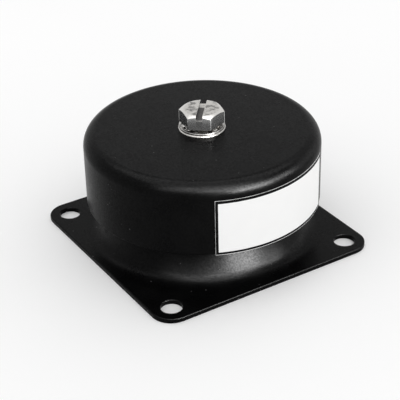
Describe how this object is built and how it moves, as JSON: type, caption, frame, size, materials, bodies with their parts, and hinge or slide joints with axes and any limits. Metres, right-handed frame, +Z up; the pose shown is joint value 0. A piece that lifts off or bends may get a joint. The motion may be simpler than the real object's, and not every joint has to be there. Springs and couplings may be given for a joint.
{
  "type": "anti-vibration mount",
  "caption": "Metal-cased rubber anti-vibration mount: bell-shaped cap with a slotted hex bolt over a drawn housing with a square bolt-down foot.",
  "frame": {"origin": "centre of the square foot's underside, where it stands on the structure below", "axes": "+Z up along the bolt and the working travel, X and Y along the sides of the square foot"},
  "size_m": [0.0626, 0.0626, 0.0361],
  "materials": {
    "housing_paint": "satin black baked paint over drawn steel",
    "cap_paint": "satin black baked paint over pressed steel",
    "plated_steel": "zinc plate",
    "turned_steel": "turned",
    "spring_steel": "phosphated",
    "spring_rubber": "moulded, matt",
    "stop_rubber": "moulded, matt",
    "label_film": "white film with a black border line, bare",
    "bright_washer": "polished by tumbling",
    "toothed_washer_steel": "plain",
    "bright_bolt": "bright, lightly tooled"
  },
  "bodies": {
    "base": {"base_housing": "housing_paint", "outer_sleeve": "plated_steel", "retainer_plate": "plated_steel", "bump_ring": "stop_rubber", "rubber_spring": "spring_rubber"},
    "suspended": {"core": "turned_steel", "rebound_washer": "plated_steel", "rebound_pad": "stop_rubber", "snap_ring": "spring_steel", "cap": "cap_paint", "label_plate": "label_film", "flat_washer": "bright_washer", "toothed_washer": "toothed_washer_steel", "hex_bolt": "bright_bolt"}
  },
  "joints": [
    {"name": "spring_travel", "type": "slide", "parent": "base", "child": "suspended", "axis": [0, 0, 1], "range_m": [-0.0035, 0.002], "stiffness_N_per_m": 30000, "deforming": ["rubber_spring"]}
  ]
}
